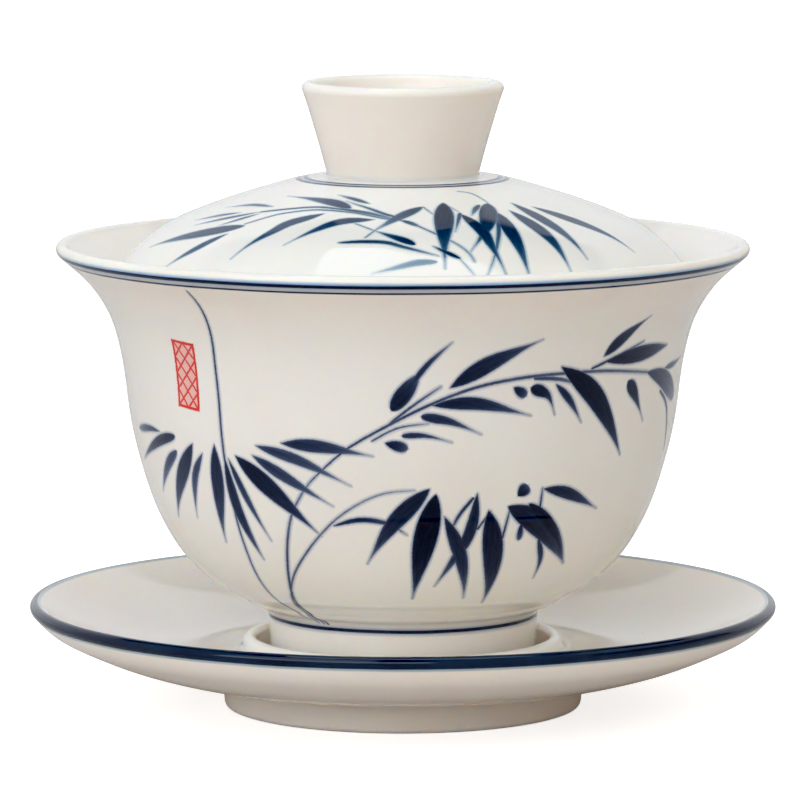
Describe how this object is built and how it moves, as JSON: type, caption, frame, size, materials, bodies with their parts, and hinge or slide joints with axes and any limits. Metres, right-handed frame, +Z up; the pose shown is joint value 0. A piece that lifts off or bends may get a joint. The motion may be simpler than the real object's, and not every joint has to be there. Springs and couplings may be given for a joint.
{
  "type": "gaiwan",
  "caption": "Porcelain gaiwan: a flared tea bowl on a footed saucer with a well, under a domed lid with a hollow ring knob, painted with blue bamboo.",
  "frame": {"origin": "on the table, at the centre of the saucer's foot", "axes": "+Z up, along the common axis of the three turned pieces; -Y towards the side with the mark and the branches"},
  "size_m": [0.106, 0.106, 0.0889],
  "materials": {
    "saucer_porcelain": "clear gloss glaze over warm white porcelain, cobalt blue band on the rim",
    "bowl_porcelain": "clear gloss glaze over warm white porcelain, underglaze cobalt bamboo and lines, small red mark",
    "lid_porcelain": "clear gloss glaze over warm white porcelain, underglaze cobalt bamboo and a double ring"
  },
  "bodies": {
    "saucer": {"saucer": "saucer_porcelain"},
    "bowl": {"bowl": "bowl_porcelain"},
    "lid": {"lid": "lid_porcelain"}
  },
  "joints": [
    {"name": "bowl_lift", "type": "slide", "parent": "saucer", "child": "bowl", "axis": [0, 0, 1], "range_m": [0, 0.05]},
    {"name": "lid_lift", "type": "slide", "parent": "bowl", "child": "lid", "axis": [0, 0, 1], "range_m": [0, 0.05]}
  ]
}
